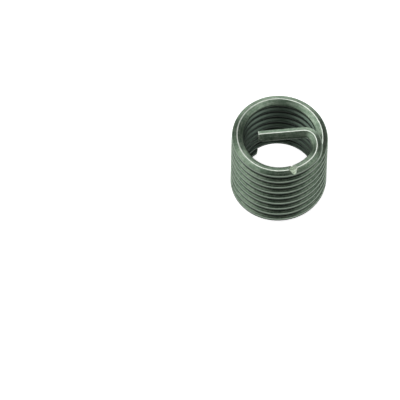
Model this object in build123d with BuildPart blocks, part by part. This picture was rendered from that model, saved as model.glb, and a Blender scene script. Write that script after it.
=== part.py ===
from build123d import *
from math import radians, tan
import os

# A wire thread insert: one piece of rolled, diamond-section wire wound into a right-hand coil.
# Its outside screws into a tapped hole, and its inside takes the screw.
# The axis is +Z, the free end is at the bottom and the tang crosses the bore at the top.

# Wire section, in the plane through the axis of the coil
ridge_width = 1.05  # across the upper and lower side ridges
outer_depth = 0.56  # from the side ridges out to the crest
inner_depth = 0.63  # from the side ridges in to the bore
flank_angle = 30  # of each flank, from the radial direction

# Coil, as it is before fitting
free_diameter = 10.3  # over the outer crests
free_pitch = 1.165  # between turns
full_turns = 7.2  # of constant diameter, up from the free end
lead_turns = 1.34  # that draw in slightly towards the tang
lead_taper = 1.5  # cone half angle of those turns
hook_heading = -42  # where the hook leaves the coil, from +X

# Hook and tang: two bends, then a straight bar across the bore
opening_radius = 2.45
opening_turn = 67
closing_radius = 1.28
closing_turn = 72
bar_length = 4.78

# Break-off notch, a V across the top of the wire just before the hook
notch_depth = 0.51
notch_angle = 90
notch_slope = 8  # rise of its floor, outwards
notch_turn = 28  # round the coil, back from the hook

# Cut ends: the bore-side corner of each is nipped off
tip_clip = 0.37
end_clip = 0.26

half_width = ridge_width / 2
coil_radius = free_diameter / 2 - outer_depth
full_height = full_turns * free_pitch
lead_height = lead_turns * free_pitch
crest_half = half_width - outer_depth * tan(radians(flank_angle))
bore_half = half_width - inner_depth * tan(radians(flank_angle))

# The path runs midway between the side ridges, up from the free end.
with BuildLine() as coil_path:
    coil = Helix(free_pitch, full_height, coil_radius, center=(0, 0, half_width))
    lead = Helix(
        free_pitch,
        lead_height,
        coil_radius,
        center=(0, 0, half_width + full_height),
        cone_angle=-lead_taper,
        mode=Mode.PRIVATE,
    ).rotate(Axis.Z, 360 * full_turns)
    add(lead)

# The hook and the tang lie in the plane in which the last turn arrives.
hook_start = lead @ 1
inwards = Vector(-hook_start.X, -hook_start.Y, 0)
hook_plane = Plane(hook_start, x_dir=lead % 1, z_dir=(lead % 1).cross(inwards))
with BuildLine(hook_plane) as hook_path:
    opening = JernArc((0, 0), (1, 0), opening_radius, opening_turn)
    closing = JernArc(opening @ 1, opening % 1, closing_radius, closing_turn)
    bar = PolarLine(closing @ 1, bar_length, direction=closing % 1)

# The V of the notch is drawn along the wire and cut across it.
notch_share = 1 - notch_turn / (360 * lead_turns)
notch_point = lead @ notch_share
notch_radial = Vector(notch_point.X, notch_point.Y, 0)
notch_plane = Plane(notch_point, x_dir=lead % notch_share, z_dir=notch_radial)
notch_top = half_width + notch_depth
notch_half = 2 * notch_depth * tan(radians(notch_angle / 2))

# Each cut end, by the way out of the wire and the way to its bore side
tip_outwards = bar % 1
tip_bore_side = hook_plane.z_dir.cross(tip_outwards)
end_outwards = (coil % 0) * -1
end_bore_side = Vector(-1, 0, 0)

with BuildPart() as wire:
    with BuildSketch(Plane(coil @ 0, x_dir=(1, 0, 0), z_dir=coil % 0)):
        Polygon(
            (0, half_width),
            (-inner_depth, bore_half),
            (-inner_depth, -bore_half),
            (0, -half_width),
            (outer_depth, -crest_half),
            (outer_depth, crest_half),
            align=None,
        )
    sweep(path=coil_path.edges() + hook_path.edges(), is_frenet=True)

    with BuildSketch(notch_plane.rotated((-notch_slope, 0, 0))):
        Polygon(
            (0, half_width - notch_depth),
            (notch_half, notch_top),
            (-notch_half, notch_top),
            align=None,
        )
    extrude(amount=2 * inner_depth, both=True, mode=Mode.SUBTRACT)

    for end_point, outwards, bore_side, clip in (
        (bar @ 1, tip_outwards, tip_bore_side, tip_clip),
        (coil @ 0, end_outwards, end_bore_side, end_clip),
    ):
        corner = end_point + bore_side * inner_depth
        with BuildSketch(Plane(corner, x_dir=outwards, z_dir=outwards.cross(bore_side))):
            Polygon((-clip, 0), (0, -clip), (clip, clip), align=None)
        extrude(amount=half_width, both=True, mode=Mode.SUBTRACT)

# Turned about its axis so that the hook stands where hook_heading puts it
with BuildPart() as wire_insert:
    add(wire.part, rotation=(0, 0, hook_heading - 360 * (full_turns + lead_turns)))

os.makedirs("parts", exist_ok=True)
wire_insert.part.label = "wire_insert"
export_step(wire_insert.part, "parts/wire_insert.step")
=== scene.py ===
from math import cos, pi, radians, sin, tan

import bmesh
import bpy
from mathutils import Matrix, Quaternion, Vector


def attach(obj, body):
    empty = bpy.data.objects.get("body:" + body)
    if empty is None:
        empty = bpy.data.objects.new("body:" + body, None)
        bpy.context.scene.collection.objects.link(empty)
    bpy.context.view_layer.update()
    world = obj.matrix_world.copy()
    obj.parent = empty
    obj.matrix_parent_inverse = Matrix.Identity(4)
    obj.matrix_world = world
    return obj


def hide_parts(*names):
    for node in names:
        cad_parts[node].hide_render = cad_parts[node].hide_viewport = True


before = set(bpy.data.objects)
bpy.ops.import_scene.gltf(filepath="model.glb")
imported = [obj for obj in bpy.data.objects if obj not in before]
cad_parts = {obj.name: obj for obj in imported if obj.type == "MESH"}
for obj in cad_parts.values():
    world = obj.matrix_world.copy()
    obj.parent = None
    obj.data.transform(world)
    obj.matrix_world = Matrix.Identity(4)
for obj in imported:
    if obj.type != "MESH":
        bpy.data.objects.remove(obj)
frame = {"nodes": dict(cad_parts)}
bpy.context.view_layer.update()
print("frame loaded:", ", ".join(frame["nodes"]))

# Lengths are in millimetres and angles in degrees, unless a note says otherwise.

mm = 0.001  # in metres
weld = 0.001  # points as near as this become one
up = Vector((0, 0, 1))
flat = Vector((1, 1, 0))  # takes the height out of a place

wire = {
    "ridgeWidth": 1.05,  # across the upper and lower side ridges
    "outerDepth": 0.56,  # side ridges to crest
    "innerDepth": 0.63,  # side ridges to bore
    "flankAngle": 30,  # of each flank, from the radial direction
    "ridgeRadius": 0.17,  # rolled on to the corners of the section
    "crestRadius": 0.22,
    "boreRadius": 0.18,
    "cornerSteps": 5,
    "freeDiameter": 10.3,
    "pitch": 1.165,
    "fullTurns": 7.2,
    "leadTurns": 1.34,  # these draw in slightly towards the tang
    "leadTaper": 1.5,
    "hookHeading": -42,  # where the hook leaves the coil, from +X
    "openingRadius": 2.45,
    "openingTurn": 67,
    "closingRadius": 1.28,
    "closingTurn": 72,
    "barLength": 4.78,
    "stepsPerTurn": 144,
    "bendStep": 3,
    "sharpAngle": 32,  # edges that turn by more are shaded sharp
}

coilRadius = wire["freeDiameter"] / 2 - wire["outerDepth"]
halfWidth = wire["ridgeWidth"] / 2
allTurns = wire["fullTurns"] + wire["leadTurns"]
turnLength = 2 * pi * coilRadius
coilLength = turnLength * allTurns
bends = (
    (wire["openingRadius"], radians(wire["openingTurn"])),
    (wire["closingRadius"], radians(wire["closingTurn"])),
)
wireLength = coilLength + sum(radius * turn for radius, turn in bends) + wire["barLength"]


def pathPoint(turns):
    # on the middle line of the wire, so many turns up from the free end
    heading = radians(wire["hookHeading"]) + 2 * pi * (turns - allTurns)
    leadHeight = max(0, turns - wire["fullTurns"]) * wire["pitch"]
    radius = coilRadius - leadHeight * tan(radians(wire["leadTaper"]))
    return Vector((radius * cos(heading), radius * sin(heading), halfWidth + wire["pitch"] * turns))


def pathFrame(turns):
    # outwards, onwards and upwards there
    outwards = (pathPoint(turns) * flat).normalized()
    onwards = (up.cross(outwards) * coilRadius + up * wire["pitch"] / (2 * pi)).normalized()
    return outwards, onwards, outwards.cross(onwards)


def placing(point, xAxis, yAxis, zAxis):
    return Matrix.Translation(point) @ Matrix((xAxis, yAxis, zAxis)).transposed().to_4x4()


def wireSection(turns):
    # the rounded outline, open, at its place on the coil; each point keeps its own place in wireSpace
    bm = bmesh.new()
    slope = tan(radians(wire["flankAngle"]))
    crest = halfWidth - wire["outerDepth"] * slope
    bore = halfWidth - wire["innerDepth"] * slope
    corners = (
        (0, halfWidth, wire["ridgeRadius"]),
        (wire["outerDepth"], crest, wire["crestRadius"]),
        (wire["outerDepth"], -crest, wire["crestRadius"]),
        (0, -halfWidth, wire["ridgeRadius"]),
        (-wire["innerDepth"], -bore, wire["boreRadius"]),
        (-wire["innerDepth"], bore, wire["boreRadius"]),
    )
    points = [bm.verts.new((out, 0, high)) for out, high, _ in corners]
    bm.faces.new(points)
    reach = tan(radians(30))  # a rounding's offset for each mm of radius, as every corner turns by 60
    for point, (_, _, radius) in zip(points, corners):
        bmesh.ops.bevel(
            bm,
            geom=[point],
            offset=radius * reach,
            segments=wire["cornerSteps"],
            profile=0.5,
            affect="VERTICES",
            material=-1,
        )
    bmesh.ops.delete(bm, geom=bm.faces[:], context="FACES_ONLY")
    space = bm.verts.layers.float_vector.new("wireSpace")
    for vert in bm.verts:
        vert[space] = vert.co
    bm.transform(placing(pathPoint(turns), *pathFrame(turns)))
    return bm


def joinRun(bm, run, ring, distances):
    # adds a run of wire, once each of its rings knows how far along the wire it is
    space = run.verts.layers.float_vector["wireSpace"]
    for index, vert in enumerate(run.verts):
        vert[space] = vert[space] + Vector((0, distances[index // ring], 0))
    mesh = bpy.data.meshes.new("run")
    run.to_mesh(mesh)
    bm.from_mesh(mesh)
    run.free()
    bpy.data.meshes.remove(mesh)


def coilRun(bm, start, turns):
    # winds up to one turn, and then draws its rings in where the coil narrows
    run = wireSection(start)
    ring = len(run.verts)
    steps = round(turns * wire["stepsPerTurn"])
    bmesh.ops.spin(
        run,
        geom=run.verts[:] + run.edges[:],
        cent=(0, 0, 0),
        axis=up,
        angle=2 * pi * turns,
        dvec=up * wire["pitch"] * turns / steps,
        steps=steps,
    )
    ringTurns = [start + turns * index / steps for index in range(steps + 1)]
    startRadius = (pathPoint(start) * flat).length
    for index, vert in enumerate(run.verts):
        onPath = pathPoint(ringTurns[index // ring]) * flat
        vert.co += onPath.normalized() * (onPath.length - startRadius)
    joinRun(bm, run, ring, [turnLength * turn for turn in ringTurns])


def hookRun(bm):
    # round the two bends and out along the bar, in the plane in which the last turn arrives
    run = wireSection(allTurns)
    ring = len(run.verts)
    distances = [coilLength]
    point = pathPoint(allTurns)
    outwards, onwards, upwards = pathFrame(allTurns)
    last = run.verts[:] + run.edges[:]
    for radius, turn in bends:
        centre = point - outwards * radius
        steps = round(turn / radians(wire["bendStep"]))
        spun = bmesh.ops.spin(run, geom=last, cent=centre, axis=upwards, angle=turn, steps=steps)
        last = spun["geom_last"]
        distances += [distances[-1] + radius * turn * (index + 1) / steps for index in range(steps)]
        bend = Quaternion(upwards, turn)
        outwards = bend @ outwards
        onwards = bend @ onwards
        point = centre + outwards * radius
    lastEdges = [item for item in last if isinstance(item, bmesh.types.BMEdge)]
    drawn = bmesh.ops.extrude_edge_only(run, edges=lastEdges)["geom"]
    lastVerts = [item for item in drawn if isinstance(item, bmesh.types.BMVert)]
    bmesh.ops.translate(run, verts=lastVerts, vec=onwards * wire["barLength"])
    distances.append(distances[-1] + wire["barLength"])
    joinRun(bm, run, ring, distances)
    return point + onwards * wire["barLength"], outwards, onwards


def meshObject(name, bm):
    bmesh.ops.scale(bm, verts=bm.verts, vec=(mm, mm, mm))
    mesh = bpy.data.meshes.new(name)
    bm.to_mesh(mesh)
    bm.free()
    made = bpy.data.objects.new(name, mesh)
    bpy.context.scene.collection.objects.link(made)
    return made


def windWire():
    # the whole wire as one closed mesh, and the place and directions of the tang's tip
    bm = bmesh.new()
    bm.verts.layers.float_vector.new("wireSpace")
    wholeTurns = int(allTurns)
    for turn in range(wholeTurns):
        coilRun(bm, turn, 1)
    coilRun(bm, wholeTurns, allTurns - wholeTurns)
    tip = hookRun(bm)
    bmesh.ops.remove_doubles(bm, verts=bm.verts, dist=weld)
    ends = bmesh.ops.holes_fill(bm, edges=bm.edges, sides=0)["faces"]
    bmesh.ops.recalc_face_normals(bm, faces=bm.faces)
    space = bm.verts.layers.float_vector["wireSpace"]
    cornerSpace = bm.loops.layers.float_vector.new("onWire")
    for face in bm.faces:
        face.smooth = True
        for corner in face.loops:
            corner[cornerSpace] = corner.vert[space]
    for face in ends:
        face.material_index = 1  # the cut finish
    bm.verts.layers.float_vector.remove(space)
    return meshObject("insertWire", bm), tip


cuts = {
    "notchDepth": 0.51,  # a V across the top of the wire
    "notchSlope": 8,  # rise of its floor, outwards
    "notchTurn": 28,  # round the coil, back from the hook
    "notchSize": 1.6,  # of the block that cuts it
    "tipClip": 0.37,  # nipped off the bore-side corner of each end, at 45 degrees
    "endClip": 0.26,
    "clipSize": 1.15,
}


def addBlock(bm, faceCentre, outOfFace, across, size):
    # a square block whose one face lies on the given point
    placed = placing(faceCentre + outOfFace * size / 2, outOfFace, across, outOfFace.cross(across))
    bmesh.ops.create_cube(bm, size=size, matrix=placed)


def addNotchBlock(bm):
    # on its edge, so that two of its faces cut the V
    turns = allTurns - cuts["notchTurn"] / 360
    outwards, onwards, upwards = pathFrame(turns)
    floor = pathPoint(turns) + upwards * (halfWidth - cuts["notchDepth"])
    slope = Quaternion(onwards, -radians(cuts["notchSlope"]))
    upwards = slope @ upwards
    size = cuts["notchSize"]
    corner = floor + (upwards - onwards).normalized() * size / 2
    addBlock(bm, corner, (upwards + onwards).normalized(), slope @ outwards, size)


def addClipBlock(bm, point, outwards, onwards, clip):
    corner = point - outwards * wire["innerDepth"]
    leaning = (onwards - outwards).normalized()
    across = leaning.cross(outwards).normalized()
    addBlock(bm, corner - leaning * clip * sin(radians(45)), leaning, across, cuts["clipSize"])


def makeBlocks(tip):
    # one block for each cut, as a single mesh
    bm = bmesh.new()
    addNotchBlock(bm)
    addClipBlock(bm, *tip, cuts["tipClip"])
    outwards, onwards, _ = pathFrame(0)
    addClipBlock(bm, pathPoint(0), outwards, -onwards, cuts["endClip"])
    return meshObject("cutters", bm)


def cutWire(whole, blocks, finishes):
    whole.data.materials.append(finishes["drawn"])
    whole.data.materials.append(finishes["cut"])
    blocks.data.materials.append(finishes["cut"])
    cut = whole.modifiers.new("cuts", "BOOLEAN")
    cut.object = blocks
    cut.operation = "DIFFERENCE"
    cut.solver = "EXACT"
    cut.material_mode = "TRANSFER"
    bpy.context.view_layer.update()
    graph = bpy.context.evaluated_depsgraph_get()
    mesh = bpy.data.meshes.new_from_object(whole.evaluated_get(graph))
    whole.modifiers.clear()
    whole.data = mesh
    mesh.name = "insertWire"
    mesh.set_sharp_from_angle(angle=radians(wire["sharpAngle"]))
    bpy.data.objects.remove(blocks)
    return whole


class Value:
    # a node's output, which can be added, subtracted and multiplied
    def __init__(self, finish, socket):
        self.finish = finish
        self.socket = socket

    def other(self, output):
        # another output of the same node
        return Value(self.finish, self.socket.node.outputs[output])

    def maths(self, operation, first, second):
        return self.finish.node("ShaderNodeMath", {"operation": operation}, {0: first, 1: second})

    def __add__(self, other):
        return self.maths("ADD", self, other)

    def __radd__(self, other):
        return self.maths("ADD", other, self)

    def __sub__(self, other):
        return self.maths("SUBTRACT", self, other)

    def __rsub__(self, other):
        return self.maths("SUBTRACT", other, self)

    def __mul__(self, other):
        return self.maths("MULTIPLY", self, other)

    def __rmul__(self, other):
        return self.maths("MULTIPLY", other, self)


class Finish:
    # one material and its nodes
    def __init__(self, name):
        self.material = bpy.data.materials.new(name)
        self.material.use_nodes = True
        self.tree = self.material.node_tree
        self.tree.nodes.clear()

    def node(self, kind, settings=None, inputs=None, output=0):
        made = self.tree.nodes.new(kind)
        for name, setting in (settings or {}).items():
            setattr(made, name, setting)
        for name, given in (inputs or {}).items():
            if isinstance(given, Value):
                self.tree.links.new(given.socket, made.inputs[name])
            else:
                made.inputs[name].default_value = given
        return Value(self, made.outputs[output]) if made.outputs else None

    def rise(self, value, low, high, start=0.0, end=1.0):
        settings = {"interpolation_type": "SMOOTHSTEP"}
        return self.node("ShaderNodeMapRange", settings, {0: value, 1: low, 2: high, 3: start, 4: end})

    def fall(self, value, low, high):
        return self.rise(value, low, high, 1.0, 0.0)

    def larger(self, first, second):
        return self.node("ShaderNodeMath", {"operation": "MAXIMUM"}, {0: first, 1: second})

    def mix(self, factor, first, second):
        return self.node("ShaderNodeMix", {"data_type": "RGBA"}, {0: factor, 6: first, 7: second}, 2)

    def noise(self, vector, scale, detail):
        inputs = {"Vector": vector, "Scale": scale, "Detail": detail, "Roughness": 0.55}
        return self.node("ShaderNodeTexNoise", None, inputs)

    def metal(self, look, colour, roughness, height):
        # height makes the fine relief of the surface
        relief = {"Strength": look["reliefStrength"], "Distance": look["reliefDepth"] * mm}
        relief["Height"] = height
        bump = self.node("ShaderNodeBump", None, relief)
        inputs = {"Base Color": colour, "Metallic": 1.0, "Roughness": roughness, "Normal": bump}
        return self.node("ShaderNodeBsdfPrincipled", None, inputs)

    def surface(self, shader):
        self.node("ShaderNodeOutputMaterial", None, {"Surface": shader})
        return self.material


drawnSteel = {
    "dark": (0.11, 0.162, 0.113, 1),
    "pale": (0.245, 0.315, 0.235, 1),
    # the bore side's colours are a lighter copy of the steel's: painted light
    "boreLitDark": (0.16, 0.23, 0.163, 1),
    "boreLitPale": (0.32, 0.405, 0.31, 1),
    # painted shade for the bore side of turns that another turn covers
    "boreDeepShade": (0.135, 0.182, 0.145, 1),
    # painted highlight along the crest, and polish from handling there
    "crest": (0.28, 0.35, 0.28, 1),
    "rubbedAndHighlit": (0.66, 0.72, 0.64, 1),  # painted highlight along the ridges and the rims of the cut ends, and the bright steel rubbed there
    # painted shade: a near-black matt sheet, mixed over the steel where shade falls
    "paintedShade": (0.006, 0.01, 0.007, 1),
    "paintedShadeRoughness": 0.9,
    "paintedShadeGloss": 0.1,
    "roughness": 0.4,
    "roughnessSpread": 0.2,
    "rubbedPolish": 0.06,  # how much smoother the rubbed steel is
    "reliefStrength": 0.3,
    "reliefDepth": 0.03,
    # scale and detail of each noise; the streaks' scale is for each mm, the others' for each metre
    "streaks": (9.0, 4.0),
    "specks": (4200.0, 2.0),
    "mottle": (1500.0, 3.0),
    "patches": (260.0, 2.0),
    "streakStretch": 0.06,  # the streaks run along the wire
    "toneShares": (0.35, 0.25, 0.25, 0.15),  # streaks, mottle, specks and patches
    "toneSpan": (0.41, 0.59),
}

wearAndPaintedLight = {
    # spans over which wear, painted shade and painted highlights come or go, outwards or upwards from
    # the middle line of the wire
    "outerSide": (-0.06, 0.06),
    "crest": (0.46, 0.56),
    "ridge": (0.475, 0.495),
    "ridgeWobble": 0.02,
    "shaded": (0.05, 0.16),  # painted shade on the side away from the tang
    "undersideShadeStrength": 0.85,  # how strongly the painted shade covers it
    "rootSide": (-0.05, 0.05),
    "outerRoot": (0.24, 0.36),  # painted shade deep in the grooves between turns, as is boreRoot in the bore
    "boreRoot": (-0.42, -0.3),
    # spans along the wire
    "coveredTurns": (1.02, 0.94),  # back from the hook: another turn lies on the wire before them
    "hookStart": 1,  # over which the sides of the hook swap finishes
    "burr": (0.06, 0.14),  # from each cut end
    "burrBrightness": 0.6,
}


def makeDrawnSteel():
    finish = Finish("drawnSteel")
    space = finish.node("ShaderNodeAttribute", {"attribute_name": "onWire"}, None, 1)
    out = finish.node("ShaderNodeSeparateXYZ", None, {0: space})
    along = out.other("Y")
    high = out.other("Z")
    stretched = {0: out, 1: along * drawnSteel["streakStretch"], 2: high}
    streaks = finish.noise(finish.node("ShaderNodeCombineXYZ", None, stretched), *drawnSteel["streaks"])
    place = finish.node("ShaderNodeTexCoord", None, None, 3)
    specks = finish.noise(place, *drawnSteel["specks"])
    mottle = finish.noise(place, *drawnSteel["mottle"])
    patches = finish.noise(place, *drawnSteel["patches"])
    shares = drawnSteel["toneShares"]
    mixed = streaks * shares[0] + mottle * shares[1] + specks * shares[2] + patches * shares[3]
    tone = finish.rise(mixed, *drawnSteel["toneSpan"])

    start, end = wearAndPaintedLight["coveredTurns"]
    covered = finish.fall(along, coilLength - turnLength * start, coilLength - turnLength * end)
    coiled = finish.fall(along, coilLength, coilLength + wearAndPaintedLight["hookStart"])
    outer = finish.mix(tone, drawnSteel["dark"], drawnSteel["pale"])
    # the bore side painted lighter than the outer side
    inner = finish.mix(tone, drawnSteel["boreLitDark"], drawnSteel["boreLitPale"])
    # painted shade inside the bore of the covered turns
    inner = finish.mix(covered, inner, drawnSteel["boreDeepShade"])
    side = finish.rise(out, *wearAndPaintedLight["outerSide"])
    facing = side * coiled + (1 - side) * (1 - coiled)  # on the tang the two sides swap the painted lighter and darker colours
    body = finish.mix(facing, inner, outer)
    # lighter crest: painted highlight, and polish from handling
    body = finish.mix(finish.rise(out, *wearAndPaintedLight["crest"]), body, drawnSteel["crest"])

    # painted shade on the lower half of each coiled turn
    shaded = finish.fall(high, *wearAndPaintedLight["shaded"]) * coiled * wearAndPaintedLight["undersideShadeStrength"]
    # painted shade deep in the grooves between covered turns, outside and in the bore
    outerRoot = finish.fall(out, *wearAndPaintedLight["outerRoot"]) * finish.rise(out, *wearAndPaintedLight["rootSide"])
    boreRoot = finish.rise(out, *wearAndPaintedLight["boreRoot"]) * finish.fall(out, *wearAndPaintedLight["rootSide"])
    # the painted-shade mask: where the near-black sheet covers the steel
    paintedShade = finish.larger(finish.larger(outerRoot, boreRoot) * covered, shaded)

    height = finish.node("ShaderNodeMath", {"operation": "ABSOLUTE"}, {0: high})
    # painted highlight on the ridges and the rims of the cut ends, also burnished and burred steel
    # there
    ridge = finish.rise(height + (mottle - 0.5) * wearAndPaintedLight["ridgeWobble"], *wearAndPaintedLight["ridge"])
    near, far = wearAndPaintedLight["burr"]
    burr = finish.fall(along, near, far) + finish.rise(along, wireLength - far, wireLength - near)
    rubbedAndHighlit = finish.larger(ridge, burr * wearAndPaintedLight["burrBrightness"])
    colour = finish.mix(rubbedAndHighlit, body, drawnSteel["rubbedAndHighlit"])
    roughness = drawnSteel["roughness"] + (streaks - 0.5) * drawnSteel["roughnessSpread"]
    roughness = roughness - rubbedAndHighlit * drawnSteel["rubbedPolish"]
    metal = finish.metal(drawnSteel, colour, roughness, streaks * 0.5 + specks * 0.5)
    # the near-black sheet of painted shade, mixed over the steel by the painted-shade mask
    paintedShadeSheet = finish.node(
        "ShaderNodeBsdfPrincipled",
        None,
        {
            "Base Color": drawnSteel["paintedShade"],
            "Roughness": drawnSteel["paintedShadeRoughness"],
            "Specular IOR Level": drawnSteel["paintedShadeGloss"],
        },
    )
    return finish.surface(finish.node("ShaderNodeMixShader", None, {0: paintedShade, 1: metal, 2: paintedShadeSheet}))


cutSteel = {
    "base": (0.55, 0.64, 0.52, 1),
    "scored": (0.93, 1.0, 0.89, 1),
    "roughness": 0.42,
    "roughnessSpread": 0.2,
    "reliefStrength": 0.5,
    "reliefDepth": 0.04,
    "scores": (7000.0, 2.0),  # scale for each metre, and detail
    "grain": (3000.0, 3.0),
    "scoreStretch": 0.08,
    "scoreSpan": (0.44, 0.56),
}


def makeCutSteel():
    # scored in the direction in which the tool went through the wire
    finish = Finish("cutSteel")
    place = finish.node("ShaderNodeTexCoord", None, None, 3)
    heading = radians(wire["hookHeading"] - cuts["notchTurn"])
    towards = {0: place, 1: (cos(heading), sin(heading), 0)}
    across = finish.node("ShaderNodeVectorMath", {"operation": "DOT_PRODUCT"}, towards, 1)
    shrink = {0: place, "Scale": cutSteel["scoreStretch"]}
    fine = finish.node("ShaderNodeVectorMath", {"operation": "SCALE"}, shrink)
    lines = finish.node("ShaderNodeCombineXYZ", None, {0: across})
    stretched = finish.node("ShaderNodeVectorMath", {"operation": "ADD"}, {0: fine, 1: lines})
    scores = finish.noise(stretched, *cutSteel["scores"])
    grain = finish.noise(place, *cutSteel["grain"])
    tone = finish.rise(scores, *cutSteel["scoreSpan"])
    colour = finish.mix(tone, cutSteel["base"], cutSteel["scored"])
    roughness = cutSteel["roughness"] + (grain - 0.5) * cutSteel["roughnessSpread"]
    return finish.surface(finish.metal(cutSteel, colour, roughness, scores * 0.7 + grain * 0.3))


paper = {
    "floorRadius": 425,
    "wallRadius": 450,  # the paper curves up into a low wall
    "wallHeight": 32,
    "bendSteps": 10,
    "roundSteps": 72,
    "colour": (0.86, 0.86, 0.86, 1),
    "glow": 0.9,  # added for the camera and in reflections, so that they find it white
}


def makePaperFinish():
    finish = Finish("paper")
    cameraRay = finish.node("ShaderNodeLightPath")
    seen = cameraRay + cameraRay.other("Is Glossy Ray") + cameraRay.other("Is Transmission Ray")
    matt = finish.node("ShaderNodeBsdfDiffuse", None, {"Color": paper["colour"]})
    glow = finish.node("ShaderNodeEmission", None, {"Color": (1, 1, 1, 1), "Strength": paper["glow"]})
    white = finish.node("ShaderNodeAddShader", None, {0: matt, 1: glow})
    return finish.surface(finish.node("ShaderNodeMixShader", None, {0: seen, 1: matt, 2: white}))


def makePaper():
    # its profile turned round the insert
    bm = bmesh.new()
    bend = paper["wallRadius"] - paper["floorRadius"]
    centre = bm.verts.new((0, 0, 0))
    edge = bm.verts.new((paper["floorRadius"], 0, 0))
    bm.edges.new((centre, edge))
    curved = bmesh.ops.spin(
        bm,
        geom=[edge],
        cent=(paper["floorRadius"], 0, bend),
        axis=(0, -1, 0),
        angle=pi / 2,
        steps=paper["bendSteps"],
    )
    top = [item for item in curved["geom_last"] if isinstance(item, bmesh.types.BMVert)]
    wall = bmesh.ops.extrude_vert_indiv(bm, verts=top)
    bmesh.ops.translate(bm, verts=wall["verts"], vec=(0, 0, paper["wallHeight"] - bend))
    bmesh.ops.spin(
        bm,
        geom=bm.verts[:] + bm.edges[:],
        cent=(0, 0, 0),
        axis=up,
        angle=2 * pi,
        steps=paper["roundSteps"],
        use_merge=True,
    )
    bmesh.ops.remove_doubles(bm, verts=bm.verts, dist=weld)
    for face in bm.faces:
        face.smooth = True
    floor = meshObject("paper", bm)
    floor.data.materials.append(makePaperFinish())


lamps = {
    # heading and elevation from the insert, distance, width, height, radiance
    "leftPanel": (188, 45, 60, 58, 58, 1.5),
    "rightPanel": (-20, 50, 60, 36, 36, 1.3),
    "backPanel": (94, 15, 70, 96, 26, 1.7),
    "topPanel": (90, 76, 60, 38, 34, 2.2),
}

lampAim = Vector((0, 0, 6))


def makeLamp(name, heading, elevation, distance, width, height, radiance):
    lamp = bpy.data.lights.new(name, "AREA")
    lamp.shape = "RECTANGLE"
    lamp.size = width * mm
    lamp.size_y = height * mm
    lamp.energy = radiance * pi * lamp.size * lamp.size_y
    holder = bpy.data.objects.new(name, lamp)
    bpy.context.scene.collection.objects.link(holder)
    towards = Vector((
        cos(radians(heading)) * cos(radians(elevation)),
        sin(radians(heading)) * cos(radians(elevation)),
        sin(radians(elevation)),
    ))
    holder.location = (lampAim + towards * distance) * mm
    holder.rotation_mode = "QUATERNION"
    holder.rotation_quaternion = towards.to_track_quat("Z", "Y")


room = {"colour": (1, 1, 1, 1), "strength": 0.06}  # the dim light from all round


def makeWorld():
    world = bpy.data.worlds.new("studio")
    bpy.context.scene.world = world
    world.use_nodes = True
    background = world.node_tree.nodes["Background"]
    background.inputs["Color"].default_value = room["colour"]
    background.inputs["Strength"].default_value = room["strength"]


camera = {
    "elevation": 60.7,  # above the horizon, looking along +Y
    "roll": -1.96,
    "distance": 883,
    "lens": 747.8,
    "sensor": 36,
    "nearest": 0.01,  # in metres, as is the next
    "farthest": 10,
    "target": (0, 0, 10.42),
    "swingLeft": 0.551,  # the insert stands in the upper right of the frame
    "dipDown": 0.448,
}


def makeCamera():
    lens = bpy.data.cameras.new("camera")
    lens.lens = camera["lens"]
    lens.sensor_width = camera["sensor"]
    lens.clip_start = camera["nearest"]
    lens.clip_end = camera["farthest"]
    holder = bpy.data.objects.new("camera", lens)
    bpy.context.scene.collection.objects.link(holder)
    tilt = radians(camera["elevation"])
    back = Vector((0, -cos(tilt), sin(tilt)))
    upright = Vector((0, sin(tilt), cos(tilt)))
    right = Vector((1, 0, 0))
    roll = radians(camera["roll"])
    rolledRight = right * cos(roll) - upright * sin(roll)
    rolledUp = right * sin(roll) + upright * cos(roll)
    holder.location = (Vector(camera["target"]) + back * camera["distance"]) * mm
    holder.rotation_mode = "QUATERNION"
    aim = Matrix((rolledRight, rolledUp, back)).transposed().to_quaternion()
    swing = Quaternion((0, 1, 0), radians(camera["swingLeft"]))
    dip = Quaternion((1, 0, 0), -radians(camera["dipDown"]))
    holder.rotation_quaternion = aim @ swing @ dip
    bpy.context.scene.camera = holder


finishes = {"drawn": makeDrawnSteel(), "cut": makeCutSteel()}
print("finishes made:", ", ".join(finishes))
whole, tip = windWire()
print("wire wound:", len(whole.data.polygons), "faces")
insert = cutWire(whole, makeBlocks(tip), finishes)
print("wire cut:", len(insert.data.polygons), "faces,", len(insert.data.materials), "finishes")
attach(insert, "root")
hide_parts("wire_insert")

makePaper()
makeWorld()
for name, settings in lamps.items():
    makeLamp(name, *settings)
makeCamera()
bpy.context.scene.view_settings.view_transform = "Standard"
print("studio set")

bpy.context.view_layer.update()
